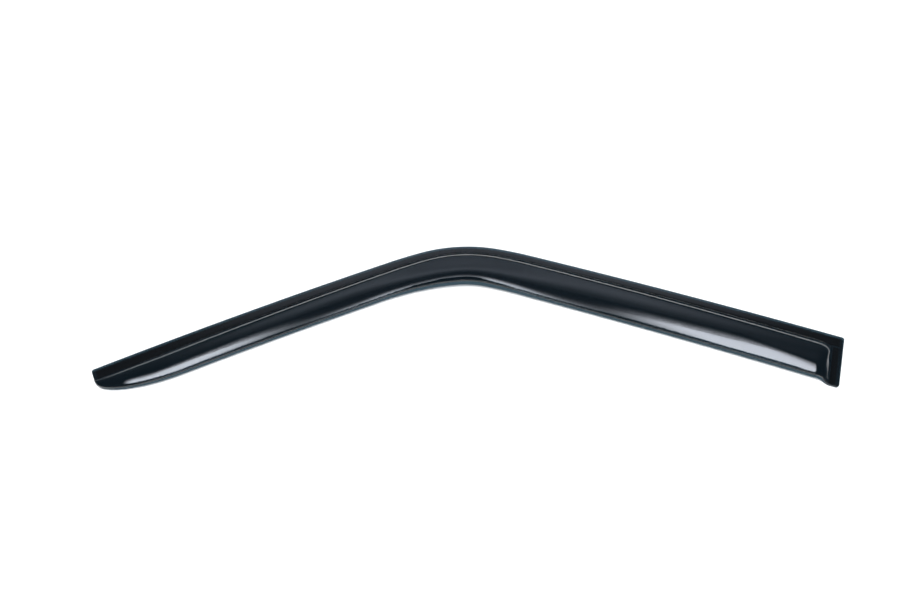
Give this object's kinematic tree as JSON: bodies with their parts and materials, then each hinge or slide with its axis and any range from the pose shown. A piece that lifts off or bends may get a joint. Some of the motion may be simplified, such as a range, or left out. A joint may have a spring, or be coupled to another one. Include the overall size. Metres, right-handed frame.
{
  "type": "window rain deflector",
  "caption": "Stick-on rain deflector for a car's front side window: a bent, domed smoked acrylic shell with a flat taped flange, a tapered tip and a closed rear end.",
  "frame": {"origin": "under the middle of the part's box, on the plane of the adhesive, which is the surface that it lies on", "axes": "+X along the straight line from the thin tip to the rear corner, +Y from the free edge towards the outer edge at the bend, +Z out of the car, from the adhesive to the outer face"},
  "size_m": [0.848, 0.231, 0.0204],
  "materials": {
    "smoked_acrylic": "gloss, dark smoke tint, slightly see-through with a teal cast at the free edge",
    "foam_tape": "matt black acrylic foam tape"
  },
  "bodies": {
    "root": {"visor": "smoked_acrylic", "flange_tape": "foam_tape", "tab_tape": "foam_tape"}
  },
  "joints": []
}
